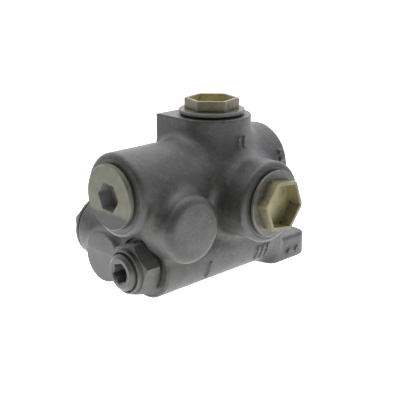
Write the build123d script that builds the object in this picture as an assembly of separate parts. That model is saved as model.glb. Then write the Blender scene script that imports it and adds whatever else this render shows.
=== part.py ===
from build123d import *
import math
import os

# Flow control valve: a cast-iron body with two parallel bores along X. The upper bore holds the flow
# control spool, the lower bore holds an adjustable relief cartridge. Three ports are plugged.
# Frame: millimetres, +Z up, origin on the resting plane midway between the two foot bolts, X along
# the bores towards the foot, -Y towards the right-hand port.

# ---- driving dimensions --------------------------------------------------------------------------

SPOOL_Z = 68.0              # height of the spool axis
RELIEF_Z = 20.8             # height of the relief axis
NEAR_X = -134.7             # machined near end of the spool housing
FAR_X = -14.6               # machined far end of the spool housing
SPOOL_HOUSING_R = 24.7
RELIEF_HOUSING_R = 20.4
RELIEF_FACE_X = -113.0      # machined face that the relief cartridge seals on
RELIEF_RIM = 1.8            # rounding of the relief housing's open end
SPANNER_CLEARANCE_R = 17.6  # space round the cartridge's hex
NEAR_RIM = 3.2              # rounding of the spool housing's near end

PORT_THREAD_R = 16.67       # 1 5/16-12 straight thread port
PORT_THREAD_DEPTH = 19.0
THREAD_GAP = 0.05           # radial clearance between any two threads
TOP_PORT_X, TOP_PORT_FACE, TOP_BOSS_R = -57.3, 104.0, 24.0
RIGHT_PORT_X, RIGHT_PORT_Z, RIGHT_PORT_FACE, RIGHT_BOSS_R = -53.0, 56.7, -46.1, 24.7
BACK_PORT_X, BACK_PORT_Z, BACK_PORT_FACE, BACK_BOSS_R = -95.8, 27.3, 60.0, 20.7
BLIND_BOSS_X, BLIND_BOSS_Z, BLIND_BOSS_FACE, BLIND_BOSS_R = -106.9, 49.8, -38.0, 20.0
END_BOSS_X, END_BOSS_Y, END_BOSS_Z, END_BOSS_R = -118.5, 33.2, 18.8, 16.5

FOOT_X0, FOOT_X1, FOOT_HALF_WIDTH, FOOT_HEIGHT = -21.0, 16.5, 19.05, 16.7
FOOT_CORNER_R, FOOT_EDGE_R = 8.3, 2.5
FOOT_BOLT_SPACING, FOOT_BOLT_R, FOOT_BOLT_DEPTH = 22.0, 4.0, 12.0
RELIEF_HOUSING_END = -12.0  # where the relief housing ends, inside the foot

SPOOL_BORE_R = 12.0
SPOOL_R = 11.97
GALLERY_R = 15.0            # annular grooves round the spool bore
EXCESS_X, EXCESS_HALF = -91.0, 5.5
INLET_X, INLET_HALF = -66.0, 7.0
REGULATED_X, REGULATED_HALF = -43.0, 6.0

PLUG_HEAD_R, PLUG_HEAD_T, PLUG_SEAL_T = 19.05, 2.9, 1.3
PLUG_SHANK = 15.0
PLUG_SOCKET_AF, PLUG_SOCKET_DEPTH, PLUG_SOCKET_TURN = 15.9, 9.0, 54.5

PORT_HEX_AF, PORT_HEX_WALL, PORT_HEX_TOP, PORT_HOLLOW_DEPTH = 28.6, 1.8, 9.8, 8.0
PORT_SEAL_R, PORT_SEAL_T = 18.6, 1.2
PORT_WASHER_R, PORT_WASHER_T = 20.0, 2.2
PORT_SHANK = 14.0
TOP_HEX_TURN, RIGHT_HEX_TURN, BACK_HEX_TURN = 13.5, 51.2, 22.0

CARTRIDGE_THREAD_R, CARTRIDGE_NECK_R, CARTRIDGE_NOSE_R = 13.4, 11.5, 10.0
CARTRIDGE_HEX_AF, CARTRIDGE_HEX_X, CARTRIDGE_HEX_TURN = 28.6, -126.0, 45.0
CARTRIDGE_COLLAR_X, CARTRIDGE_COLLAR_R = -129.0, 13.1
CARTRIDGE_THREAD_END, CARTRIDGE_NECK_END, CARTRIDGE_END = -98.5, -80.5, -71.0
CARTRIDGE_BORE_R = 8.5
NOSE_GROOVE_X, NOSE_GROOVE_T, NOSE_GROOVE_R = -77.2, 2.4, 8.2
ADJUSTER_R, ADJUSTER_X, ADJUSTER_SOCKET_AF = 11.1, -132.3, 11.1
ADJUSTER_SHOULDER_X = -116.0
ADJUSTER_GROOVE_X, ADJUSTER_GROOVE_T, ADJUSTER_GROOVE_R = -110.2, 2.4, 6.7
GALLERY_PLUG_R, GALLERY_PLUG_DEPTH = 5.5, 10.0
GUIDE_X, GUIDE_T = -105.5, 4.0
SEAT_X, SEAT_R, SEAT_HOLE_R = -80.0, 6.0, 2.8
POPPET_FLANGE_X, POPPET_FLANGE_T = -86.0, 2.0

SPOOL_NEAR_END, SPOOL_FAR_END = -119.4, -47.0
SPOOL_POCKET_X, SPOOL_POCKET_R = -56.0, 7.5
SPOOL_CORE_X, SPOOL_CORE_R = -70.0, 5.0
FAR_POCKET_DEPTH = 6.0

TOWARDS_FOOT, TOWARDS_NEAR = (1, 0, 0), (-1, 0, 0)
UP, RIGHT, LEFT = (0, 0, 1), (0, -1, 0), (0, 1, 0)

os.makedirs("parts", exist_ok=True)


# ---- helpers -------------------------------------------------------------------------------------

def frame_at(origin, direction):
    """Plane at origin whose local Z is the direction; local X is row X, or row Y along the bores."""
    x_dir = (0, 1, 0) if direction in (TOWARDS_FOOT, TOWARDS_NEAR) else (1, 0, 0)
    return Plane(origin=origin, x_dir=x_dir, z_dir=direction)


def rod(origin, direction, radius, length):
    return extrude(frame_at(origin, direction) * Circle(radius), length)


def turned(*corners):
    """Solid of revolution about local Z through (radius, height) corners."""
    outline = Polyline(*[(radius, 0, height) for radius, height in corners], close=True)
    return revolve(make_face(outline), Axis.Z)


def hexagon(across_flats, height, turn=0.0):
    circumradius = across_flats / 2 / math.cos(math.pi / 6)
    return Rot(0, 0, turn) * extrude(RegularPolygon(circumradius, 6), height)


def block(x0, x1, y0, y1, z0, z1):
    return Pos((x0 + x1) / 2, (y0 + y1) / 2, (z0 + z1) / 2) * Box(x1 - x0, y1 - y0, z1 - z0)


def rounded_rod(origin, direction, radius, length, rim):
    """Cast boss whose outer rim is rounded."""
    boss = rod(origin, direction, radius, length)
    end = boss.faces().sort_by(Axis(origin, direction))[-1]
    return fillet(end.edges(), rim)


def seal_ring(inner, outer, thickness):
    ring = turned((inner, 0), (outer, 0), (outer, thickness), (inner, thickness))
    return fillet(ring.edges(), thickness * 0.35)


def coil_spring(mean_radius, wire_radius, length, turns):
    """Round-wire compression spring that stands from height 0 to length on local Z."""
    rise = length - 2 * wire_radius
    path = Helix(pitch=rise / turns, height=rise, radius=mean_radius)
    section = Plane(origin=path @ 0, z_dir=path % 0) * Circle(wire_radius)
    return Pos(0, 0, wire_radius) * sweep(section, path=path, is_frenet=True)


def save(name, shape):
    shape.label = name
    export_step(shape, f"parts/{name}.step")


# ---- valve body ----------------------------------------------------------------------------------

def housings():
    upper = rod((NEAR_X, 0, SPOOL_Z), TOWARDS_FOOT, SPOOL_HOUSING_R, FAR_X - NEAR_X)
    near_rim, far_rim = upper.edges().filter_by(GeomType.CIRCLE).sort_by(Axis.X)
    upper = fillet(far_rim, 0.8)
    upper = fillet(upper.edges().filter_by(GeomType.CIRCLE).sort_by(Axis.X)[0], NEAR_RIM)
    length = RELIEF_HOUSING_END - RELIEF_FACE_X
    lower = rod((RELIEF_FACE_X, 0, RELIEF_Z), TOWARDS_FOOT, RELIEF_HOUSING_R, length)
    lower = fillet(lower.edges().filter_by(GeomType.CIRCLE).sort_by(Axis.X)[0], RELIEF_RIM)
    web = block(-106, -24, -16, 16, RELIEF_Z, SPOOL_Z)
    return upper + lower + web


def bosses():
    # The top boss is round, with one square corner on its near left side.
    r = TOP_BOSS_R
    outline = Line((0, r), (-r, r)) + Line((-r, r), (-r, 0))
    outline += ThreePointArc((-r, 0), (r * math.cos(math.pi / 4), -r * math.sin(math.pi / 4)), (0, r))
    place = frame_at((TOP_PORT_X, 0, SPOOL_Z), UP)
    top = extrude(place * make_face(outline), TOP_PORT_FACE - SPOOL_Z)
    right = rounded_rod((RIGHT_PORT_X, 0, RIGHT_PORT_Z), RIGHT, RIGHT_BOSS_R, -RIGHT_PORT_FACE, 2.6)
    back = rounded_rod((BACK_PORT_X, 0, BACK_PORT_Z), LEFT, BACK_BOSS_R, BACK_PORT_FACE, 0.6)
    blind_origin = (BLIND_BOSS_X, -10, BLIND_BOSS_Z)
    blind = rounded_rod(blind_origin, RIGHT, BLIND_BOSS_R, -BLIND_BOSS_FACE - 10, 5.0)
    end_origin = (END_BOSS_X + 26, END_BOSS_Y, END_BOSS_Z)
    end = rounded_rod(end_origin, TOWARDS_NEAR, END_BOSS_R, 26, 1.8)
    return top + right + back + blind + end


def foot():
    pad = block(FOOT_X0, FOOT_X1, -FOOT_HALF_WIDTH, FOOT_HALF_WIDTH, 0, FOOT_HEIGHT)
    pad = fillet(pad.edges().filter_by(Axis.Z), FOOT_CORNER_R)
    return fillet(pad.faces().sort_by(Axis.Z)[-1].edges() + pad.faces().sort_by(Axis.Z)[0].edges(), FOOT_EDGE_R)


def cast_marks():
    """Plain raised foundry bars and pips that stand 0.8 mm out of the casting."""
    proud = 0.8
    lower_skin = rod((-82, 0, RELIEF_Z), TOWARDS_FOOT, RELIEF_HOUSING_R + proud, 61)
    marks = []
    for x0 in (-35.5, -31.0, -26.5):
        marks.append(lower_skin & block(x0, x0 + 2.2, -30, -10, 8, 18))
    marks.append(lower_skin & block(-79, -76.8, -30, -10, 8, 19))
    upper_skin = rod((-23, 0, SPOOL_Z), TOWARDS_FOOT, SPOOL_HOUSING_R + proud, 8)
    for z0 in (72.0, 76.5):
        marks.append(upper_skin & block(-21, -17, -30, -10, z0, z0 + 2.6))
    for x, z in ((-3.0, 6.0), (5.0, 6.0)):
        marks.append(rod((x, -FOOT_HALF_WIDTH + 2, z), RIGHT, 2.2, 2 + proud))
    return marks


def port_cavity(origin, outwards):
    return rod(origin, tuple(-c for c in outwards), PORT_THREAD_R + THREAD_GAP, PORT_THREAD_DEPTH)


def cavities():
    cuts = [rod((NEAR_X - 1, 0, SPOOL_Z), TOWARDS_FOOT, SPOOL_BORE_R, FAR_X - NEAR_X + 2)]
    cuts.append(port_cavity((NEAR_X, 0, SPOOL_Z), TOWARDS_NEAR))
    cuts.append(port_cavity((FAR_X, 0, SPOOL_Z), TOWARDS_FOOT))
    cuts.append(port_cavity((TOP_PORT_X, 0, TOP_PORT_FACE), UP))
    cuts.append(port_cavity((RIGHT_PORT_X, RIGHT_PORT_FACE, RIGHT_PORT_Z), RIGHT))
    cuts.append(port_cavity((BACK_PORT_X, BACK_PORT_FACE, BACK_PORT_Z), LEFT))
    # Annular galleries round the spool, and the passages that lead to them, a little narrower.
    for x, half in ((EXCESS_X, EXCESS_HALF), (INLET_X, INLET_HALF), (REGULATED_X, REGULATED_HALF)):
        cuts.append(rod((x - half, 0, SPOOL_Z), TOWARDS_FOOT, GALLERY_R, 2 * half))
    cuts.append(rod((INLET_X, 0, SPOOL_Z), UP, INLET_HALF - 0.7, TOP_PORT_FACE - SPOOL_Z - 18))
    cuts.append(rod((REGULATED_X, RIGHT_PORT_FACE + 18, RIGHT_PORT_Z), LEFT, REGULATED_HALF - 0.7, 30))
    cuts.append(rod((EXCESS_X, 0, BACK_PORT_Z), LEFT, 6.5, BACK_PORT_FACE - 18))
    cuts.append(rod((EXCESS_X, 0, BACK_PORT_Z), UP, EXCESS_HALF - 0.7, SPOOL_Z - BACK_PORT_Z))
    # Relief bore, its annular outlet, and the drillings that bring it the regulated pressure.
    cuts.append(rod((RELIEF_FACE_X, 0, RELIEF_Z), TOWARDS_NEAR, SPANNER_CLEARANCE_R, 30))
    thread_length = CARTRIDGE_THREAD_END - RELIEF_FACE_X
    cuts.append(rod((RELIEF_FACE_X, 0, RELIEF_Z), TOWARDS_FOOT, CARTRIDGE_THREAD_R + THREAD_GAP, thread_length))
    cuts.append(rod((CARTRIDGE_THREAD_END, 0, RELIEF_Z), TOWARDS_FOOT, 13.0, 18))
    cuts.append(rod((CARTRIDGE_NECK_END, 0, RELIEF_Z), TOWARDS_FOOT, CARTRIDGE_NOSE_R + THREAD_GAP, 10))
    cuts.append(rod((CARTRIDGE_END, 0, RELIEF_Z), TOWARDS_FOOT, 4.0, REGULATED_X - CARTRIDGE_END))
    cuts.append(rod((REGULATED_X, 0, 0), UP, 3.5, RIGHT_PORT_Z))
    cuts.append(rod((REGULATED_X, 0, 0), UP, GALLERY_PLUG_R + THREAD_GAP, GALLERY_PLUG_DEPTH))
    for side in (-1, 1):
        cuts.append(rod((0, side * FOOT_BOLT_SPACING / 2, 0), UP, FOOT_BOLT_R + THREAD_GAP, FOOT_BOLT_DEPTH))
    return cuts


def valve_body():
    casting = housings() + bosses() + foot()
    for mark in cast_marks():
        casting += mark
    for cut in cavities():
        casting -= cut
    return casting


# ---- plugs and seals -----------------------------------------------------------------------------

def end_plug(pocket_depth=0.0):
    """Hex-socket plug. Local Z points outwards and height 0 is the machined face it closes."""
    head_top = PLUG_SEAL_T + PLUG_HEAD_T
    plug = turned(
        (0, -PLUG_SHANK), (PORT_THREAD_R - 1.2, -PLUG_SHANK), (PORT_THREAD_R, -PLUG_SHANK + 1.2),
        (PORT_THREAD_R, -0.6), (16.0, 0), (16.0, PLUG_SEAL_T), (PLUG_HEAD_R - 0.3, PLUG_SEAL_T),
        (PLUG_HEAD_R, PLUG_SEAL_T + 0.3), (PLUG_HEAD_R, head_top - 0.8), (PLUG_HEAD_R - 0.8, head_top),
        (0, head_top))
    plug -= Pos(0, 0, head_top - PLUG_SOCKET_DEPTH) * hexagon(PLUG_SOCKET_AF, PLUG_SOCKET_DEPTH, PLUG_SOCKET_TURN)
    if pocket_depth:
        plug -= Pos(0, 0, -PLUG_SHANK) * extrude(Circle(SPOOL_POCKET_R), pocket_depth)
    return plug


def port_plug(turn):
    """Hollow hex port plug. Local Z points out of the port and height 0 is the port's face."""
    hex_foot = PORT_SEAL_T + PORT_WASHER_T
    shank = turned(
        (0, -PORT_SHANK), (PORT_THREAD_R - 1.2, -PORT_SHANK), (PORT_THREAD_R, -PORT_SHANK + 1.2),
        (PORT_THREAD_R, -0.6), (13.9, 0), (13.9, hex_foot), (0, hex_foot))
    hex_height = PORT_HEX_TOP - hex_foot
    head = hexagon(PORT_HEX_AF, hex_height, turn)
    corner = PORT_HEX_AF / 2 / math.cos(math.pi / 6)
    edge_trim = turned((0, 0), (corner + 0.4, 0), (corner + 0.4, hex_height - 0.8),
                       (corner - 0.6, hex_height), (0, hex_height))
    head = Pos(0, 0, hex_foot) * (head & edge_trim)
    hollow = hexagon(PORT_HEX_AF - 2 * PORT_HEX_WALL, PORT_HOLLOW_DEPTH, turn)
    return shank + head - Pos(0, 0, PORT_HEX_TOP - PORT_HOLLOW_DEPTH) * hollow


def port_washer():
    washer = turned((14.0, 0), (PORT_WASHER_R, 0), (PORT_WASHER_R, PORT_WASHER_T), (14.0, PORT_WASHER_T))
    outer = washer.edges().filter_by(GeomType.CIRCLE).sort_by(SortBy.RADIUS)[-2:]
    return fillet(outer, 0.6)


# ---- relief cartridge ----------------------------------------------------------------------------

def relief_cartridge():
    """Hex body; local Z points towards the foot and height 0 is the machined relief face."""
    def at(x):
        return x - RELIEF_FACE_X
    barrel = turned(
        (0, at(CARTRIDGE_COLLAR_X)), (CARTRIDGE_COLLAR_R - 0.5, at(CARTRIDGE_COLLAR_X)),
        (CARTRIDGE_COLLAR_R, at(CARTRIDGE_COLLAR_X) + 0.5), (CARTRIDGE_COLLAR_R, -1.4), (12.4, 0),
        (CARTRIDGE_THREAD_R, 1.0), (CARTRIDGE_THREAD_R, at(CARTRIDGE_THREAD_END)),
        (CARTRIDGE_NECK_R, at(CARTRIDGE_THREAD_END)), (CARTRIDGE_NECK_R, at(CARTRIDGE_NECK_END)),
        (CARTRIDGE_NOSE_R, at(CARTRIDGE_NECK_END)), (CARTRIDGE_NOSE_R, at(NOSE_GROOVE_X)),
        (NOSE_GROOVE_R, at(NOSE_GROOVE_X)), (NOSE_GROOVE_R, at(NOSE_GROOVE_X) + NOSE_GROOVE_T),
        (CARTRIDGE_NOSE_R, at(NOSE_GROOVE_X) + NOSE_GROOVE_T), (CARTRIDGE_NOSE_R, at(CARTRIDGE_END)),
        (0, at(CARTRIDGE_END)))
    front, back = at(CARTRIDGE_HEX_X), -1.5
    corner = CARTRIDGE_HEX_AF / 2 / math.cos(math.pi / 6)
    nut = Pos(0, 0, front) * hexagon(CARTRIDGE_HEX_AF, back - front, CARTRIDGE_HEX_TURN)
    nut &= turned((0, front), (14.1, front), (corner + 0.1, front + 1.5), (corner + 0.1, back - 0.8),
                  (15.2, back), (0, back))
    bore = turned(
        (0, at(CARTRIDGE_COLLAR_X) - 1), (12.1, at(CARTRIDGE_COLLAR_X) - 1),
        (12.1, at(CARTRIDGE_COLLAR_X) + 2.2), (ADJUSTER_R + THREAD_GAP, at(CARTRIDGE_COLLAR_X) + 2.2),
        (ADJUSTER_R + THREAD_GAP, 0), (CARTRIDGE_BORE_R, 0), (CARTRIDGE_BORE_R, at(SEAT_X)),
        (SEAT_R, at(SEAT_X)), (SEAT_R, at(CARTRIDGE_END) + 1), (0, at(CARTRIDGE_END) + 1))
    body = barrel + nut - bore
    for turn in range(0, 360, 90):
        side_hole = Rot(0, 0, turn + 45) * Pos(0, 0, at(-82.2)) * Rot(0, 90, 0) * extrude(Circle(1.8), 14)
        body -= side_hole
    return body


def relief_seat():
    length = CARTRIDGE_END - SEAT_X - 1.0
    return turned((4.0, 0), (SEAT_R, 0), (SEAT_R, length), (SEAT_HOLE_R, length), (SEAT_HOLE_R, 1.2))


def relief_poppet():
    """Local Z points at the seat and height 0 is the back of the guide flange."""
    reach = SEAT_X - POPPET_FLANGE_X
    poppet = turned(
        (0, -4.0), (3.6, -4.0), (4.2, -3.4), (4.2, 0), (8.4, 0), (8.4, POPPET_FLANGE_T),
        (4.6, POPPET_FLANGE_T), (4.6, reach - 0.7), (1.4, reach + 2.5), (0, reach + 2.5))
    for turn in range(0, 360, 60):
        poppet -= Rot(0, 0, turn) * Pos(6.6, 0, -1) * extrude(Circle(1.2), POPPET_FLANGE_T + 2)
    return poppet


def spring_guide():
    return turned((0, 0), (7.9, 0), (8.4, 0.5), (8.4, GUIDE_T), (4.2, GUIDE_T), (4.2, 7.4), (3.6, 8.0), (0, 8.0))


def adjusting_screw():
    """Local Z points towards the foot and height 0 is the front face of the screw."""
    shoulder, groove = ADJUSTER_SHOULDER_X - ADJUSTER_X, ADJUSTER_GROOVE_X - ADJUSTER_X
    end = GUIDE_X - 0.2 - ADJUSTER_X
    screw = turned(
        (0, 0), (ADJUSTER_R - 2.2, 0), (ADJUSTER_R, 1.8), (ADJUSTER_R, shoulder - 1), (10.1, shoulder),
        (8.4, shoulder), (8.4, groove), (ADJUSTER_GROOVE_R, groove),
        (ADJUSTER_GROOVE_R, groove + ADJUSTER_GROOVE_T), (8.4, groove + ADJUSTER_GROOVE_T), (8.4, end), (0, end))
    screw -= hexagon(ADJUSTER_SOCKET_AF, 9.0, CARTRIDGE_HEX_TURN)
    return screw - turned((0, 0), (6.9, 0), (5.6, 0.9), (0, 0.9))


def gallery_plug():
    return turned((0, 0), (4.9, 0), (GALLERY_PLUG_R, 0.6), (GALLERY_PLUG_R, 8.4), (4.9, 9.0), (0, 9.0)) - \
        hexagon(5.0, 5.0)


# ---- spool and its parts -------------------------------------------------------------------------

def flow_control_spool():
    """Local Z points towards the foot and height 0 is the near end of the spool."""
    def at(x):
        return x - SPOOL_NEAR_END
    land, corners = SPOOL_R, [(0, 0), (SPOOL_R - 0.5, 0), (SPOOL_R, 0.5)]
    for start, width, depth_r in ((-114.0, 0.8, 11.4), (-110.5, 0.8, 11.4), (-104.0, 24.0, 8.0),
                                  (-76.4, 0.8, 11.4), (-72.0, 12.0, 8.5), (-55.0, 0.8, 11.4)):
        corners += [(land, at(start)), (depth_r, at(start)), (depth_r, at(start + width)), (land, at(start + width))]
    corners += [(SPOOL_R, at(SPOOL_FAR_END) - 0.5), (SPOOL_R - 0.5, at(SPOOL_FAR_END)), (0, at(SPOOL_FAR_END))]
    spool = turned(*corners)
    spool -= Pos(0, 0, at(SPOOL_POCKET_X)) * extrude(Circle(SPOOL_POCKET_R), 20)
    spool -= Pos(0, 0, at(SPOOL_CORE_X)) * extrude(Circle(SPOOL_CORE_R), 20)
    spool -= Pos(0, 0, -1) * extrude(Circle(1.5), 60)
    for turn in range(0, 360, 90):
        spool -= Rot(0, 0, turn) * Pos(0, 0, at(INLET_X)) * Rot(0, 90, 0) * extrude(Circle(2.2), 14)
    return spool


def metering_orifice():
    return turned((1.2, 0), (SPOOL_CORE_R - THREAD_GAP, 0), (SPOOL_CORE_R - THREAD_GAP, 4), (1.2, 4)) - \
        Pos(0, 0, 2) * hexagon(4.0, 3)


# ---- assembly ------------------------------------------------------------------------------------

save("valve_body", valve_body())

NEAR = frame_at((NEAR_X, 0, SPOOL_Z), TOWARDS_NEAR)
FAR = frame_at((FAR_X, 0, SPOOL_Z), TOWARDS_FOOT)
save("near_end_plug", NEAR * end_plug())
save("far_end_plug", FAR * end_plug(FAR_POCKET_DEPTH))
for name, place in (("near_plug_seal", NEAR), ("far_plug_seal", FAR)):
    save(name, place * Pos(0, 0, 0.02) * seal_ring(16.05, 18.3, PLUG_SEAL_T - 0.04))

PORTS = {
    "top": (frame_at((TOP_PORT_X, 0, TOP_PORT_FACE), UP), TOP_HEX_TURN),
    "right": (frame_at((RIGHT_PORT_X, RIGHT_PORT_FACE, RIGHT_PORT_Z), RIGHT), RIGHT_HEX_TURN),
    "back": (frame_at((BACK_PORT_X, BACK_PORT_FACE, BACK_PORT_Z), LEFT), BACK_HEX_TURN),
}
for side, (place, hex_turn) in PORTS.items():
    save(f"{side}_port_plug", place * port_plug(hex_turn))
    save(f"{side}_plug_washer", place * Pos(0, 0, PORT_SEAL_T) * port_washer())
    save(f"{side}_plug_seal", place * Pos(0, 0, 0.02) * seal_ring(14.0, PORT_SEAL_R, PORT_SEAL_T - 0.04))


def on_relief_axis(x):
    return frame_at((x, 0, RELIEF_Z), TOWARDS_FOOT)


def on_spool_axis(x):
    return frame_at((x, 0, SPOOL_Z), TOWARDS_FOOT)


save("relief_cartridge", on_relief_axis(RELIEF_FACE_X) * relief_cartridge())
save("cartridge_seal", on_relief_axis(RELIEF_FACE_X - 1.48) * seal_ring(13.2, 15.0, 1.46))
save("cartridge_nose_seal", on_relief_axis(NOSE_GROOVE_X + NOSE_GROOVE_T / 2) * Torus(9.1, 0.85))
save("relief_seat", on_relief_axis(SEAT_X) * relief_seat())
save("relief_poppet", on_relief_axis(POPPET_FLANGE_X) * relief_poppet())
save("spring_guide", on_relief_axis(GUIDE_X) * spring_guide())
RELIEF_SPRING_X = GUIDE_X + GUIDE_T
save("relief_spring", on_relief_axis(RELIEF_SPRING_X) * coil_spring(5.6, 1.0, POPPET_FLANGE_X - RELIEF_SPRING_X, 4.5))
save("adjusting_screw", on_relief_axis(ADJUSTER_X) * adjusting_screw())
save("adjuster_seal", on_relief_axis(ADJUSTER_GROOVE_X + ADJUSTER_GROOVE_T / 2) * Torus(7.6, 0.85))
save("gallery_plug", frame_at((REGULATED_X, 0, 0.9), UP) * gallery_plug())

save("flow_control_spool", on_spool_axis(SPOOL_NEAR_END) * flow_control_spool())
save("metering_orifice", on_spool_axis(SPOOL_POCKET_X - 4.2) * metering_orifice())
SPRING_FAR_X = FAR_X - PLUG_SHANK + FAR_POCKET_DEPTH
save("spool_spring", on_spool_axis(SPOOL_POCKET_X) * coil_spring(5.9, 1.2, SPRING_FAR_X - SPOOL_POCKET_X, 7))
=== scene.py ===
import math

import bpy
import numpy as np
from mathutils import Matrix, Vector, noise


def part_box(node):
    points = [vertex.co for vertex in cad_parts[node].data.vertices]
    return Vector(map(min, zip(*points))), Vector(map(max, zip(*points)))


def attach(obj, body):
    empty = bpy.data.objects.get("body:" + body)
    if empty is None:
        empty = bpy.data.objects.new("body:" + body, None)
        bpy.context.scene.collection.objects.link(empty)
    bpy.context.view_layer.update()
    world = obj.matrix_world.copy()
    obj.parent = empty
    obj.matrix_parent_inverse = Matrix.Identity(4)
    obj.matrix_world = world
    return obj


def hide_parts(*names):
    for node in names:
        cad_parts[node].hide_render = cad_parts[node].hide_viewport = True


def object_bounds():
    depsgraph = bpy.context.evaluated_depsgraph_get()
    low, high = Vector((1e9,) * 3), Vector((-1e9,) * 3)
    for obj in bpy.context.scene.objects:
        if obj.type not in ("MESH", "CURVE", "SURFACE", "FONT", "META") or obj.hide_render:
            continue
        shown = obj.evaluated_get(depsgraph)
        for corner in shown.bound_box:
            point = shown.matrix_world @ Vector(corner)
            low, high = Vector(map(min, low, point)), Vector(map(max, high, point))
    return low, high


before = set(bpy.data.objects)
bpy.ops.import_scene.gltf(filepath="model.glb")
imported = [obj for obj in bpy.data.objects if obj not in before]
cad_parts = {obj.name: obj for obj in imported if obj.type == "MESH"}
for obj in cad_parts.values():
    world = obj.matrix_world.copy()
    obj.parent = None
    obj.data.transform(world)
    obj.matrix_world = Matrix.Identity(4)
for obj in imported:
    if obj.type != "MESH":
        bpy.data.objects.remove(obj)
CAD_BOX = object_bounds()

# Lengths are millimetres in the frame's own axes, and become metres when a mesh is made.
MM = 0.001


def low(node):
    return np.array(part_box(node)[0]) / MM


def high(node):
    return np.array(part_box(node)[1]) / MM


def middle(node):
    return (low(node) + high(node)) / 2


# ---- places, all read from the frame ---------------------------------------------------------

SEAL_PLAY = 0.02
BODY_LOW, BODY_HIGH = low("valve_body"), high("valve_body")
SPOOL, RELIEF = middle("flow_control_spool"), middle("relief_seat")
NEAR_X, FAR_X = BODY_LOW[0], low("far_plug_seal")[0] - SEAL_PLAY
RELIEF_FACE_X = high("cartridge_seal")[0] + SEAL_PLAY
TOP_PORT, TOP_FACE = middle("top_port_plug"), BODY_HIGH[2]
RIGHT_PORT, RIGHT_FACE = middle("right_port_plug"), BODY_LOW[1]
BACK_PORT, BACK_FACE = middle("back_port_plug"), BODY_HIGH[1]
GALLERY_PLUG = middle("gallery_plug")
FOOT_X1 = BODY_HIGH[0]

# The casting's own bosses, from the near end of the spool housing and the two bore axes.
SPOOL_HOUSING_R, RELIEF_HOUSING_R = 24.7, 20.4
TOP_BOSS_R, RIGHT_BOSS_R, BACK_BOSS_R = 24.0, 24.7, 20.7
BLIND_BOSS_R, BLIND_BOSS = 20.0, np.array([NEAR_X + 27.8, -38.0, RELIEF[2] + 29.0])
END_BOSS_R, END_BOSS = 16.5, np.array([NEAR_X + 16.2, 33.2, RELIEF[2] - 2.0])
FOOT_LOW = np.array([FOOT_X1 - 37.5, -19.05, 0.0])
FOOT_HIGH = np.array([FOOT_X1, 19.05, 16.7])
FOOT_CORNER_R, FOOT_EDGE_R = 8.3, 2.5
FOOT_HOLE_R, FOOT_HOLE_Y, FOOT_HOLE_DEPTH = 4.05, 11.0, 12.0
RELIEF_HOUSING_END = FOOT_LOW[0] + 9

# The casting's mesh cell, and the angle in degrees above which an edge is sharp.
CELL, QUICK_CELL, SHARP_ANGLE = 1.0, 2.2, 34


# ---- distances: negative inside, for arrays of points ----------------------------------------

def melt(a, b, reach):
    """Union of two distances, with a fillet of about the size of reach where they meet."""
    share = np.maximum(reach - np.abs(a - b), 0) / reach
    return np.minimum(a, b) - share ** 2 * reach / 4


def across(axis):
    """The two row axes square to axis."""
    return [i for i in range(3) if i != axis]


def off_axis(p, axis, centre):
    i, j = across(axis)
    return np.hypot(p[:, i] - centre[i], p[:, j] - centre[j])


def rounded(out, up, rim):
    """Distance to two faces that meet square to each other, with the edge between rounded."""
    out, up = out + rim, up + rim
    inside = np.minimum(np.maximum(out, up), 0)
    return inside + np.hypot(np.maximum(out, 0), np.maximum(up, 0)) - rim


def boxed(q, rim):
    """Distance to a box, from how far points are past its faces, with its edges rounded."""
    q = q + rim
    return np.minimum(q.max(axis=1), 0) + np.linalg.norm(np.maximum(q, 0), axis=1) - rim


def rod(p, axis, centre, radius, start, end, rim=0.0, dome=0.0):
    """Capped cylinder along one row axis, with rounded rims and ends that fall away by dome."""
    away = off_axis(p, axis, centre)
    beyond = np.abs(p[:, axis] - (start + end) / 2) - abs(end - start) / 2
    return rounded(away - radius, beyond + dome * (away / radius) ** 2, rim)


def block(p, lowest, highest, rim=0.0):
    lowest, highest = np.array(lowest), np.array(highest)
    return boxed(np.abs(p - (lowest + highest) / 2) - (highest - lowest) / 2, rim)


def slab(p, lowest, highest, corner, rim):
    """Upright block with corners of radius corner in plan, and rounded top and bottom edges."""
    centre, half = (lowest + highest) / 2, (highest - lowest) / 2
    plan = boxed(np.abs(p[:, :2] - centre[:2]) - half[:2], corner)
    return rounded(plan, np.abs(p[:, 2] - centre[2]) - half[2], rim)


# ---- the casting -----------------------------------------------------------------------------

def spool_housing(p):
    """Two rods that overlap, because the rims at the two ends differ."""
    halfway, overlap = (NEAR_X + FAR_X) / 2, 15.0
    near = rod(p, 0, SPOOL, SPOOL_HOUSING_R, NEAR_X, halfway + overlap, rim=3.2)
    far = rod(p, 0, SPOOL, SPOOL_HOUSING_R, halfway - overlap, FAR_X, rim=1.2)
    return np.minimum(near, far)


def relief_housing(p):
    return rod(p, 0, RELIEF, RELIEF_HOUSING_R, RELIEF_FACE_X, RELIEF_HOUSING_END, rim=1.8)


def top_boss(p):
    """Round boss with one square corner on its near left side."""
    round_part = rod(p, 2, TOP_PORT, TOP_BOSS_R, SPOOL[2], TOP_FACE, rim=0.8)
    corner_low = (TOP_PORT[0] - TOP_BOSS_R, TOP_PORT[1], SPOOL[2])
    corner_high = (TOP_PORT[0], TOP_PORT[1] + TOP_BOSS_R, TOP_FACE)
    corner = block(p, corner_low, corner_high, rim=1.0)
    return np.minimum(round_part, corner)


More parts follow.
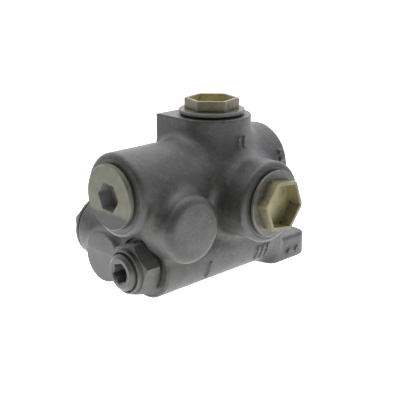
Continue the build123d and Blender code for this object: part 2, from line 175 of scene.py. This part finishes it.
def cast_marks(p):
    """Plain raised foundry bars and pips."""
    proud, outer_y, inner_y, marks = 1.1, -30, -10, []

    def add_bar(skin, x, z, width, height):
        """A bar on the -Y side, from x and z, that stands proud of a round skin."""
        solid = block(p, (x, outer_y, z), (x + width, inner_y, z + height), rim=0.5)
        marks.append(np.maximum(skin, solid))

    skin = off_axis(p, 0, RELIEF) - RELIEF_HOUSING_R - proud
    for x in (FOOT_LOW[0] - 14.5, FOOT_LOW[0] - 10.0, FOOT_LOW[0] - 5.5):
        add_bar(skin, x, 8, 2.2, 10)
    add_bar(skin, NEAR_X + 55.7, 8, 2.2, 11)
    skin = off_axis(p, 0, SPOOL) - SPOOL_HOUSING_R - proud
    for z in (SPOOL[2] + 4.0, SPOOL[2] + 8.5):
        add_bar(skin, FAR_X - 6.4, z, 4.0, 2.6)
    skin = off_axis(p, 2, TOP_PORT) - TOP_BOSS_R - proud
    for x in (TOP_PORT[0] - 2.5, TOP_PORT[0] + 2.5):
        add_bar(skin, x, 87.0, 2.4, 6.5)
    pip_z, pip_r = 6.0, 2.2
    for x in (-3.0, 5.0):
        marks.append(rod(p, 1, (x, 0, pip_z), pip_r, inner_y, FOOT_LOW[1] - proud, rim=0.4))
    return np.min(marks, axis=0)


def cavities(p):
    """The bores, threads, galleries, drillings and bolt holes, the same as the CAD body's."""
    thread_r, thread_depth, spool_r, gallery_r = 16.72, 19.0, 12.0, 15.0
    tools = [rod(p, 0, SPOOL, spool_r, NEAR_X - 5, FAR_X + 5)]
    tools.append(rod(p, 0, SPOOL, thread_r, NEAR_X - 5, NEAR_X + thread_depth))
    tools.append(rod(p, 0, SPOOL, thread_r, FAR_X - thread_depth, FAR_X + 5))
    tools.append(rod(p, 2, TOP_PORT, thread_r, TOP_FACE - thread_depth, TOP_FACE + 5))
    tools.append(rod(p, 1, RIGHT_PORT, thread_r, RIGHT_FACE - 5, RIGHT_FACE + thread_depth))
    tools.append(rod(p, 1, BACK_PORT, thread_r, BACK_FACE - thread_depth, BACK_FACE + 5))
    excess_x, inlet_x, regulated_x = NEAR_X + 43.7, NEAR_X + 68.7, GALLERY_PLUG[0]
    for x, half in ((excess_x, 5.5), (inlet_x, 7.0), (regulated_x, 6.0)):
        tools.append(rod(p, 0, SPOOL, gallery_r, x - half, x + half))
    inlet_r, regulated_r, excess_r, link_r = 6.3, 5.3, 6.5, 4.8
    top_end, back_end = TOP_FACE - thread_depth + 1, BACK_FACE - thread_depth + 1
    right_drilling, right_end = (regulated_x, 0, RIGHT_PORT[2]), 1.9
    right_start = RIGHT_FACE + thread_depth - 1
    tools.append(rod(p, 2, (inlet_x, 0, 0), inlet_r, SPOOL[2], top_end))
    tools.append(rod(p, 1, right_drilling, regulated_r, right_start, right_end))
    tools.append(rod(p, 1, (excess_x, 0, BACK_PORT[2]), excess_r, 0, back_end))
    tools.append(rod(p, 2, (excess_x, 0, 0), link_r, BACK_PORT[2], SPOOL[2]))
    # The relief cavity as radius, start and end from its face: room for a spanner, the thread,
    # the cartridge's barrel, its nose, and the drilling beyond it.
    relief_steps = ((17.6, -30, 0), (13.45, -1, 14.5), (13.0, 14.5, 32.5), (10.05, 32, 42.5),
                    (4.0, 42, regulated_x - RELIEF_FACE_X))
    for radius, start, end in relief_steps:
        tools.append(rod(p, 0, RELIEF, radius, RELIEF_FACE_X + start, RELIEF_FACE_X + end))
    cross_r, plug_thread_r, plug_depth = 3.5, 5.55, 10
    tools.append(rod(p, 2, GALLERY_PLUG, cross_r, 0, RIGHT_PORT[2]))
    tools.append(rod(p, 2, GALLERY_PLUG, plug_thread_r, -5, plug_depth))
    for y in (-FOOT_HOLE_Y, FOOT_HOLE_Y):
        tools.append(rod(p, 2, (0, y, 0), FOOT_HOLE_R, -5, FOOT_HOLE_DEPTH))
    return np.min(tools, axis=0)


def casting_form(p):
    web_low, web_high = (RELIEF_FACE_X + 7, -16, RELIEF[2]), (FAR_X - 9.4, 16, SPOOL[2])
    # Each form, and the reach of the fillet where it melts into those before it.
    forms = ((relief_housing(p), 6),
             (block(p, web_low, web_high, rim=3), 5),
             (top_boss(p), 9),
             (rod(p, 1, RIGHT_PORT, RIGHT_BOSS_R, 0, RIGHT_FACE, rim=2.8), 8),
             (rod(p, 1, BACK_PORT, BACK_BOSS_R, 0, BACK_FACE, rim=1.2), 7),
             (rod(p, 1, BLIND_BOSS, BLIND_BOSS_R, -10, BLIND_BOSS[1], rim=4.5, dome=0.9), 7),
             (rod(p, 0, END_BOSS, END_BOSS_R, END_BOSS[0], END_BOSS[0] + 26, rim=1.6), 4),
             (slab(p, FOOT_LOW, FOOT_HIGH, FOOT_CORNER_R, FOOT_EDGE_R), 4),
             (cast_marks(p), 1.0))
    body = spool_housing(p)
    for form, reach in forms:
        body = melt(body, form, reach)
    body = np.maximum(body, block(p, BODY_LOW, BODY_HIGH))
    return np.maximum(body, -cavities(p))


def gradient(field, p):
    step = 0.02
    sides = [field(p + step * unit) - field(p - step * unit) for unit in np.eye(3)]
    slope = np.stack(sides, axis=1)
    return slope / np.maximum(np.linalg.norm(slope, axis=1, keepdims=True), 1e-9)


def contour(field, lowest, highest, cell):
    """Dual contouring: vertices and quads of the surface where field is 0, edges kept sharp."""
    counts = np.ceil((highest - lowest) / cell).astype(int) + 1
    ticks = [lowest[i] + cell * np.arange(counts[i]) for i in range(3)]
    value = np.empty(counts)
    for i, x in enumerate(ticks[0]):
        layer = np.stack(np.meshgrid([x], ticks[1], ticks[2], indexing="ij"), axis=-1)
        value[i] = field(layer.reshape(-1, 3)).reshape(counts[1:])
    inside = value < 0
    points, cells, flips = [], [], []
    for axis in range(3):
        start = [slice(None)] * 3
        start[axis] = slice(0, -1)
        ahead = list(start)
        ahead[axis] = slice(1, None)
        corner = np.argwhere(inside[tuple(start)] != inside[tuple(ahead)])
        step = np.eye(3, dtype=int)[axis]
        here, there = value[tuple(corner.T)], value[tuple((corner + step).T)]
        points.append(lowest + cell * (corner + np.outer(here / (here - there), step)))
        flips.append(here > 0)
        side, up = np.eye(3, dtype=int)[(axis + 1) % 3], np.eye(3, dtype=int)[(axis + 2) % 3]
        ring = [corner - side - up, corner - up, corner, corner - side]
        cells.append(np.stack([np.ravel_multi_index(tuple(c.T), counts) for c in ring], axis=1))
    points, cells, flips = np.concatenate(points), np.concatenate(cells), np.concatenate(flips)
    used, quads = np.unique(cells, return_inverse=True)
    quads = quads.reshape(-1, 4)
    normals = gradient(field, points)
    # Each vertex is the point that best lies on all the tangent planes found on its cell's edges.
    owner, edge = quads.ravel(), np.repeat(np.arange(len(points)), 4)
    number = np.bincount(owner, minlength=len(used))[:, None]
    centre = np.stack([np.bincount(owner, points[edge, i]) for i in range(3)], axis=1) / number
    reach = np.sum(normals[edge] * (points[edge] - centre[owner]), axis=1)
    pull = np.stack([np.bincount(owner, normals[edge, i] * reach) for i in range(3)], axis=1)
    matrix = np.empty((len(used), 3, 3))
    for i in range(3):
        for j in range(3):
            matrix[:, i, j] = np.bincount(owner, normals[edge, i] * normals[edge, j])
    hold = 0.05  # keeps a vertex near its cell's centre where the planes leave it free
    matrix += hold * np.eye(3)
    vertex = centre + np.linalg.solve(matrix, pull[:, :, None])[:, :, 0]
    base = lowest + cell * np.stack(np.unravel_index(used, counts), axis=1)
    vertex = np.clip(vertex, base, base + cell)
    quads[flips] = quads[flips][:, ::-1]
    return vertex, quads


# Machined flats of the casting: axis, place along it, centre and radius. The top face and the
# underside only stay free of dents; the others look milled too.
MILLED = ((0, NEAR_X, SPOOL, 21.4), (0, FAR_X, SPOOL, 23.4), (0, RELIEF_FACE_X, RELIEF, 18.4),
          (1, RIGHT_FACE, RIGHT_PORT, 21.8), (1, BACK_FACE, BACK_PORT, 19.4),
          (0, END_BOSS[0], END_BOSS, 14.9))
FLATS = MILLED + ((2, TOP_FACE, TOP_PORT, 40.0), (2, 0.0, np.zeros(3), 60.0))


def from_machined(p):
    """Distance of each point from the nearest machined flat."""
    gaps = [np.hypot(np.maximum(off_axis(p, axis, centre) - radius, 0), p[:, axis] - face)
            for axis, face, centre, radius in FLATS]
    return np.min(gaps, axis=0)


def mesh_piece(name, points, faces, materials):
    mesh = bpy.data.meshes.new(name)
    mesh.from_pydata((np.asarray(points) * MM).tolist(), [], [list(map(int, f)) for f in faces])
    for m in materials:
        mesh.materials.append(m)
    mesh.shade_smooth()
    mesh.set_sharp_from_angle(angle=math.radians(SHARP_ANGLE))
    piece = bpy.data.objects.new(name, mesh)
    bpy.context.scene.collection.objects.link(piece)
    return piece


def casting(skin):
    """The body, with sand-cast unevenness that fades out at every machined flat and bore."""
    cell, margin = CELL, 2.5
    points, quads = contour(casting_form, BODY_LOW - margin, BODY_HIGH + margin, cell)
    outwards = gradient(casting_form, points)
    broad, fine, mean_depth, swing, fade_width = 0.12, 0.4, 0.16, 0.24, 1.5
    swell = [noise.noise(Vector(p * broad)) * 0.5 + noise.noise(Vector(p * fine)) * 0.35
             for p in points]
    dent = np.maximum(mean_depth + swing * np.array(swell), 0.0)
    fade = np.clip(from_machined(points) / fade_width, 0, 1)
    fade = fade * np.clip(np.abs(cavities(points)), 0, 1)
    points = np.clip(points - outwards * (dent * fade)[:, None], BODY_LOW, BODY_HIGH)
    piece = mesh_piece("casting", points, quads, [skin])
    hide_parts("valve_body")
    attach(piece, "valve")


# ---- materials -------------------------------------------------------------------------------

# Each hexagon: the distances from its axis between which its corners lie, then the ones between
# which its inside blends into its outside, measured square to its flats.
PLUG_SOCKET_CORNERS, PLUG_SOCKET_FLATS = (8.5, 9.4), (7.98, 8.10)
PORT_HEX_CORNERS, PORT_HOLLOW_FLATS = (16.2, 16.62), (12.53, 12.68)
SCREW_SOCKET_CORNERS, SCREW_SOCKET_FLATS = (6.0, 6.6), (5.57, 5.68)


def hex_turn(node, axis, centre, corners):
    """Turn of a hexagon, in radians, from its corners between two distances from its axis."""
    points = np.array([v.co[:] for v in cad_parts[node].data.vertices]) / MM - centre
    i, j = across(axis)
    reach = np.hypot(points[:, i], points[:, j])
    ring = points[(reach > corners[0]) & (reach < corners[1])]
    corner = ring[np.argmax(np.hypot(ring[:, i], ring[:, j]))]
    return math.atan2(corner[j], corner[i])


def hex_normals(axis, turn):
    i, j = across(axis)
    normals = []
    for side in (30, 90, 150):
        angle, normal = turn + math.radians(side), [0.0, 0.0, 0.0]
        normal[i], normal[j] = math.cos(angle), math.sin(angle)
        normals.append(normal)
    return normals


class Finish:
    """A Principled material, with short calls for the nodes that the finishes share."""

    def __init__(self, name, metallic=0.0, roughness=0.5):
        self.material = bpy.data.materials.new(name)
        self.material.use_nodes = True
        self.tree = self.material.node_tree
        self.shader = self.tree.nodes["Principled BSDF"]
        self.shader.inputs["Metallic"].default_value = metallic
        self.shader.inputs["Roughness"].default_value = roughness
        self.place = self.tree.nodes.new("ShaderNodeTexCoord").outputs["Object"]

    def feed(self, socket, source):
        if isinstance(source, bpy.types.NodeSocket):
            self.tree.links.new(source, socket)
        else:
            socket.default_value = source

    def noise(self, size, detail=4.0, roughness=0.55):
        """Noise whose blotches are about size millimetres across."""
        node = self.tree.nodes.new("ShaderNodeTexNoise")
        self.feed(node.inputs["Vector"], self.place)
        node.inputs["Scale"].default_value = 1 / (size * MM)
        node.inputs["Detail"].default_value = detail
        node.inputs["Roughness"].default_value = roughness
        return node.outputs["Fac"]

    def math(self, operation, *values):
        node = self.tree.nodes.new("ShaderNodeMath")
        node.operation = operation
        for socket, value in zip(node.inputs, values):
            self.feed(socket, value)
        return node.outputs["Value"]

    def ramp(self, value, stops):
        """Colours at positions from 0 to 1, given as (position, (r, g, b))."""
        node = self.tree.nodes.new("ShaderNodeValToRGB")
        elements = node.color_ramp.elements
        while len(elements) < len(stops):
            elements.new(0.5)
        for element, (position, colour) in zip(elements, stops):
            element.position = position
            element.color = (*colour, 1.0)
        self.feed(node.inputs["Fac"], value)
        return node.outputs["Color"]

    def mix(self, factor, a, b):
        node = self.tree.nodes.new("ShaderNodeMix")
        node.data_type = "RGBA"
        self.feed(node.inputs[0], factor)
        for socket, colour in ((node.inputs[6], a), (node.inputs[7], b)):
            linked = isinstance(colour, bpy.types.NodeSocket)
            self.feed(socket, colour if linked else (*colour, 1.0))
        return node.outputs[2]

    def between(self, value, lowest, highest):
        node = self.tree.nodes.new("ShaderNodeMapRange")
        self.feed(node.inputs["Value"], value)
        node.inputs["To Min"].default_value = lowest
        node.inputs["To Max"].default_value = highest
        return node.outputs["Result"]

    def step(self, value, start, end):
        """0 below start, 1 above end, smooth between them."""
        node = self.tree.nodes.new("ShaderNodeMapRange")
        node.interpolation_type = "SMOOTHSTEP"
        self.feed(node.inputs["Value"], value)
        node.inputs["From Min"].default_value = start
        node.inputs["From Max"].default_value = end
        return node.outputs["Result"]

    def fade(self, value, start, end):
        """1 below start, 0 above end, smooth between them."""
        return self.math("SUBTRACT", 1.0, self.step(value, start, end))

    def away(self, axis, centre):
        """Distance from the line through centre along a row axis, in metres."""
        parts = self.tree.nodes.new("ShaderNodeSeparateXYZ")
        self.feed(parts.inputs["Vector"], self.place)
        squares = []
        for i in across(axis):
            offset = self.math("SUBTRACT", parts.outputs[i], float(centre[i]) * MM)
            squares.append(self.math("MULTIPLY", offset, offset))
        return self.math("SQRT", self.math("ADD", *squares))

    def across_flats(self, axis, centre, turn):
        """Distance from the axis, measured square to the nearest flats of a hexagon, in metres."""
        offset = self.tree.nodes.new("ShaderNodeVectorMath")
        offset.operation = "SUBTRACT"
        offset.inputs[1].default_value = [float(c) * MM for c in centre]
        self.feed(offset.inputs[0], self.place)
        furthest = None
        for normal in hex_normals(axis, turn):
            reach = self.tree.nodes.new("ShaderNodeVectorMath")
            reach.operation = "DOT_PRODUCT"
            reach.inputs[1].default_value = normal
            self.feed(reach.inputs[0], offset.outputs["Vector"])
            side = self.math("ABSOLUTE", reach.outputs["Value"])
            furthest = side if furthest is None else self.math("MAXIMUM", furthest, side)
        return furthest

    def along(self, axis):
        parts = self.tree.nodes.new("ShaderNodeSeparateXYZ")
        self.feed(parts.inputs["Vector"], self.place)
        return parts.outputs[axis]

    def rings(self, axis, centre, pitch):
        """Turning marks round a row axis."""
        wave = self.math("MULTIPLY", self.away(axis, centre), 2 * math.pi / (pitch * MM))
        return self.math("ADD", self.math("MULTIPLY", self.math("SINE", wave), 0.5), 0.5)

    def worn(self):
        """0.5 on flats, and more towards outer edges."""
        return self.tree.nodes.new("ShaderNodeNewGeometry").outputs["Pointiness"]

    def bump(self, height, depth, strength=1.0, under=None):
        node = self.tree.nodes.new("ShaderNodeBump")
        node.inputs["Strength"].default_value = strength
        node.inputs["Distance"].default_value = depth * MM
        self.feed(node.inputs["Height"], height)
        if under is not None:
            self.feed(node.inputs["Normal"], under)
        return node.outputs["Normal"]

    def finish(self, colour, normal=None, roughness=None):
        self.feed(self.shader.inputs["Base Color"], colour)
        if normal is not None:
            self.feed(self.shader.inputs["Normal"], normal)
        if roughness is not None:
            self.feed(self.shader.inputs["Roughness"], roughness)
        return self.material


def cast_iron():
    """Dark sand-cast skin, and lighter machined metal on the flats."""
    f = Finish("cast_iron")
    blotch, grain, grit = f.noise(11, 4), f.noise(1.3, 4, 0.7), f.noise(0.5, 2, 0.6)
    skin = f.ramp(blotch, ((0.32, (0.016, 0.017, 0.013)), (0.52, (0.026, 0.026, 0.022)),
                           (0.70, (0.040, 0.040, 0.039))))
    skin = f.mix(f.step(f.noise(3.2, 4, 0.65), 0.52, 0.70), skin, (0.048, 0.048, 0.047))
    skin = f.mix(f.step(grain, 0.50, 0.78), skin, (0.046, 0.046, 0.043))
    skin = f.mix(f.step(f.worn(), 0.54, 0.66), skin, (0.070, 0.070, 0.068))
    f.shader.inputs["Coat Weight"].default_value = 0.3
    f.shader.inputs["Coat Roughness"].default_value = 0.42
    metal = f.ramp(blotch, ((0.3, (0.038, 0.038, 0.034)), (0.7, (0.058, 0.057, 0.052))))
    milled = None
    for axis, face, centre, radius in MILLED:
        off = f.math("ABSOLUTE", f.math("SUBTRACT", f.along(axis), float(face) * MM))
        flat = f.fade(off, 0.05 * MM, 0.14 * MM)
        within = f.fade(f.away(axis, centre), (radius - 0.2) * MM, (radius + 0.3) * MM)
        both = f.math("MULTIPLY", flat, within)
        milled = both if milled is None else f.math("MAXIMUM", milled, both)
    colour = f.mix(milled, skin, metal)
    rough = f.math("SUBTRACT", 1.0, milled)
    normal = f.bump(f.math("MULTIPLY", f.noise(4.5, 3), rough), 0.50, 0.7)
    normal = f.bump(f.math("MULTIPLY", grain, rough), 0.28, 0.8, normal)
    normal = f.bump(grit, 0.07, 0.5, normal)
    return f.finish(colour, normal, f.between(grain, 0.42, 0.64))


def olive_chromate(axis, centre, turn):
    """Drab plating with turning marks, bare in the broached socket and darker towards the bottom
    of its face.
    """
    f = Finish("olive_chromate", metallic=0.45)
    film, speck = f.noise(6, 3), f.noise(0.9, 3, 0.7)
    colour = f.ramp(film, ((0.3, (0.092, 0.095, 0.062)), (0.52, (0.116, 0.119, 0.082)),
                           (0.72, (0.140, 0.142, 0.106))))
    # The face is darker towards the bottom, below a wavy line.
    low_down = f.math("ADD", f.along(2), f.math("MULTIPLY", film, 4.0 * MM))
    darker_below = f.fade(low_down, (centre[2] - 9.0) * MM, (centre[2] - 5.0) * MM)
    colour = f.mix(darker_below, colour, (0.046, 0.047, 0.044))
    colour = f.mix(f.step(speck, 0.6, 0.78), colour, (0.070, 0.070, 0.048))
    start, end = PLUG_SOCKET_FLATS
    in_socket = f.fade(f.across_flats(axis, centre, turn), start * MM, end * MM)
    colour = f.mix(in_socket, colour, (0.26, 0.26, 0.25))
    rings = f.rings(axis, centre, 0.9)
    normal = f.bump(rings, 0.03, 0.6)
    return f.finish(colour, f.bump(speck, 0.05, 0.3, normal), f.between(film, 0.36, 0.52))


def tinted(stops, strength):
    """The same stops with their colours made stronger or weaker."""
    return tuple((position, tuple(c * strength for c in colour)) for position, colour in stops)


def amber_chromate(name, axis, centre, turn, outer, inside_light):
    """Patchy plating, more yellow and painted lighter inside the plug's hexagonal hollow, with
    each plug's colours scaled as painted light and shade.
    """
    f = Finish(name, metallic=0.5)
    film, patch, speck = f.noise(8, 4, 0.6), f.noise(4.0, 3, 0.6), f.noise(0.9, 3, 0.7)
    stops = ((0.30, (0.110, 0.110, 0.068)), (0.46, (0.165, 0.155, 0.086)),
             (0.60, (0.200, 0.175, 0.090)), (0.74, (0.135, 0.135, 0.080)))
    # The two scale factors brighten or darken the colours per plug: painted light and shade.
    outside = f.ramp(film, tinted(stops, outer))
    stained = tuple(c * outer for c in (0.085, 0.074, 0.055))
    outside = f.mix(f.step(patch, 0.52, 0.70), outside, stained)
    # The hollow's colours are yellower and painted lighter than the outside's.
    stops = ((0.30, (0.165, 0.158, 0.092)), (0.50, (0.235, 0.212, 0.118)),
             (0.66, (0.290, 0.248, 0.122)), (0.78, (0.170, 0.166, 0.098)))
    inside = f.ramp(film, tinted(stops, inside_light))
    stained = tuple(c * inside_light for c in (0.130, 0.110, 0.075))
    inside = f.mix(f.step(patch, 0.55, 0.72), inside, stained)
    start, end = PORT_HOLLOW_FLATS
    past_hollow = f.step(f.across_flats(axis, centre, turn), start * MM, end * MM)
    colour = f.mix(past_hollow, inside, outside)
    colour = f.mix(f.step(speck, 0.62, 0.82), colour, (0.085, 0.080, 0.055))
    return f.finish(colour, f.bump(speck, 0.05, 0.4), f.between(patch, 0.30, 0.48))


def screw_steel(centre, turn):
    """Dull turned steel, brighter where the socket was broached."""
    f = Finish("screw_steel", metallic=0.15)
    film, speck = f.noise(4, 4), f.noise(0.7, 3, 0.7)
    colour = f.ramp(film, ((0.3, (0.050, 0.049, 0.047)), (0.7, (0.074, 0.072, 0.069))))
    start, end = SCREW_SOCKET_FLATS
    in_socket = f.fade(f.across_flats(0, centre, turn), start * MM, end * MM)
    colour = f.mix(in_socket, colour, (0.13, 0.125, 0.13))
    normal = f.bump(f.rings(0, centre, 0.7), 0.02, 0.5)
    return f.finish(colour, f.bump(speck, 0.04, 0.4, normal), f.between(speck, 0.3, 0.5))


def plain_steel(name, dark, light, metallic=0.8, smooth=0.3, coarse=0.5):
    f = Finish(name, metallic=metallic)
    film, speck = f.noise(4, 4), f.noise(0.7, 3, 0.7)
    colour = f.ramp(film, ((0.3, dark), (0.7, light)))
    return f.finish(colour, f.bump(speck, 0.04, 0.4), f.between(speck, smooth, coarse))


def rubber():
    f = Finish("seal_rubber")
    bloom = f.noise(2, 4)
    colour = f.ramp(bloom, ((0.3, (0.010, 0.010, 0.010)), (0.7, (0.028, 0.028, 0.028))))
    return f.finish(colour, f.bump(f.noise(0.5, 2), 0.03, 0.3), f.between(bloom, 0.5, 0.7))


def give(material, *nodes):
    for node in nodes:
        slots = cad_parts[node].data.materials
        slots.clear()
        slots.append(material)


def dress_cad_nodes():
    socket_turn = hex_turn("near_end_plug", 0, SPOOL, PLUG_SOCKET_CORNERS)
    give(olive_chromate(0, SPOOL, socket_turn), "near_end_plug", "far_end_plug")
    # The last two numbers scale each plug's plating colour outside and inside it: painted light
    # and shade, with the top plug's hollow painted much lighter.
    ports = (("top", 2, TOP_PORT, 0.62, 2.1), ("right", 1, RIGHT_PORT, 0.95, 1.2),
             ("back", 1, BACK_PORT, 0.95, 0.9))
    for side, axis, centre, outer, inside_light in ports:
        turn = hex_turn(f"{side}_port_plug", axis, centre, PORT_HEX_CORNERS)
        name = f"{side}_amber_chromate"
        give(amber_chromate(name, axis, centre, turn, outer, inside_light), f"{side}_port_plug")
    washer = plain_steel("washer_steel", (0.085, 0.085, 0.072), (0.13, 0.13, 0.112),
                         0.4, 0.35, 0.55)
    give(washer, "top_plug_washer", "right_plug_washer", "back_plug_washer")
    cartridge = plain_steel("cartridge_steel", (0.066, 0.066, 0.063), (0.098, 0.097, 0.092),
                            0.0, 0.45, 0.62)
    give(cartridge, "relief_cartridge")
    screw_turn = hex_turn("adjusting_screw", 0, RELIEF, SCREW_SOCKET_CORNERS)
    give(screw_steel(RELIEF, screw_turn), "adjusting_screw")
    ground = plain_steel("ground_steel", (0.52, 0.52, 0.53), (0.62, 0.62, 0.62), 1.0, 0.15, 0.3)
    give(ground, "flow_control_spool", "relief_seat", "relief_poppet", "spring_guide",
         "gallery_plug")
    wire = plain_steel("spring_wire", (0.22, 0.22, 0.23), (0.34, 0.34, 0.35), 0.9, 0.25, 0.4)
    give(wire, "spool_spring", "relief_spring")
    brass = plain_steel("orifice_brass", (0.55, 0.40, 0.14), (0.66, 0.50, 0.20), 1.0, 0.2, 0.35)
    give(brass, "metering_orifice")
    seal = rubber()
    for side in ("near", "far", "top", "right", "back"):
        give(seal, f"{side}_plug_seal")
    give(seal, "cartridge_seal", "cartridge_nose_seal", "adjuster_seal")


# ---- studio ----------------------------------------------------------------------------------

CAD_CENTRE = (np.array(CAD_BOX[0]) + np.array(CAD_BOX[1])) / 2 / MM
POOL_NEAR, POOL_FAR, POOL_GLOW, TABLE_GLOW = 90.0, 330.0, 1.75, 0.45
FLOOR_HALF, FLOOR_Z = 4000.0, -0.2


def floor():
    """A white floor that glows as painted light, brightest in a pool under the valve."""
    f = Finish("floor_paper", roughness=0.9)
    shade = f.noise(60, 3)
    f.shader.inputs["Emission Color"].default_value = (1.0, 1.0, 1.0, 1.0)
    # Painted light: the floor's glow is strongest in a pool under the valve and weaker further
    # out.
    pool = f.step(f.away(2, CAD_CENTRE), POOL_NEAR * MM, POOL_FAR * MM)
    glow = f.math("ADD", POOL_GLOW, f.math("MULTIPLY", pool, TABLE_GLOW - POOL_GLOW))
    f.feed(f.shader.inputs["Emission Strength"], glow)
    white = f.ramp(shade, ((0.3, (0.78, 0.78, 0.78)), (0.7, (0.82, 0.82, 0.82))))
    paper = f.finish(white, f.bump(f.noise(1.5, 2), 0.05, 0.2))
    corners = [(x * FLOOR_HALF, y * FLOOR_HALF, FLOOR_Z)
               for x, y in ((-1, -1), (1, -1), (1, 1), (-1, 1))]
    mesh_piece("floor", corners, [(0, 1, 2, 3)], [paper])


def softbox(name, place, aim, size, power):
    light = bpy.data.lights.new(name, "AREA")
    light.shape = "SQUARE"
    light.size = size * MM
    light.energy = power
    lamp = bpy.data.objects.new(name, light)
    lamp.location = Vector(place) * MM
    lamp.rotation_euler = (Vector(aim) - Vector(place)).to_track_quat("-Z", "Y").to_euler()
    bpy.context.scene.collection.objects.link(lamp)


def sky():
    """A white tent, bright behind and above the valve and dim on the viewer's side."""
    world = bpy.data.worlds.new("tent")
    bpy.context.scene.world = world
    world.use_nodes = True
    tree = world.node_tree
    background = tree.nodes["Background"]
    background.inputs["Color"].default_value = (0.96, 0.95, 1.0, 1.0)
    towards = tree.nodes.new("ShaderNodeVectorMath")
    towards.operation = "DOT_PRODUCT"
    towards.inputs[1].default_value = Vector((0.62, 0.50, 0.60)).normalized()
    tree.links.new(tree.nodes.new("ShaderNodeTexCoord").outputs["Generated"], towards.inputs[0])
    glow = tree.nodes.new("ShaderNodeMapRange")
    glow.interpolation_type = "SMOOTHSTEP"
    ends = (("From Min", -0.3), ("From Max", 0.85), ("To Min", 0.07), ("To Max", 2.1))
    for socket, value in ends:
        glow.inputs[socket].default_value = value
    tree.links.new(towards.outputs["Value"], glow.inputs["Value"])
    tree.links.new(glow.outputs["Result"], background.inputs["Strength"])


def studio():
    centre = (CAD_CENTRE[0], CAD_CENTRE[1], 50)
    above = (centre[0] + 100, centre[1] + 150, 1000)
    softbox("top_light", above, centre, size=800, power=3)
    left = (centre[0] - 800, centre[1] + 300, 450)
    softbox("left_light", left, centre, size=600, power=0.25)
    bpy.context.scene.view_settings.view_transform = "Standard"


VIEW_AZIMUTH, VIEW_ELEVATION, VIEW_DISTANCE, VIEW_LENS = -44.49, 17.10, 529.8, 80.3
VIEW_AIM = CAD_CENTRE + np.array([-18.8, -20.0, 0.0])


def camera():
    turn, tilt = math.radians(VIEW_AZIMUTH), math.radians(VIEW_ELEVATION)
    back = Vector((math.sin(turn) * math.cos(tilt), -math.cos(turn) * math.cos(tilt),
                   math.sin(tilt)))
    seat = bpy.data.cameras.new("camera")
    seat.lens, seat.sensor_width, seat.clip_start = VIEW_LENS, 36.0, 0.01
    eye = bpy.data.objects.new("camera", seat)
    eye.location = (Vector(VIEW_AIM) + back * VIEW_DISTANCE) * MM
    eye.rotation_euler = (-back).to_track_quat("-Z", "Y").to_euler()
    bpy.context.scene.collection.objects.link(eye)
    bpy.context.scene.camera = eye


casting(cast_iron())
dress_cad_nodes()
floor()
sky()
studio()
camera()
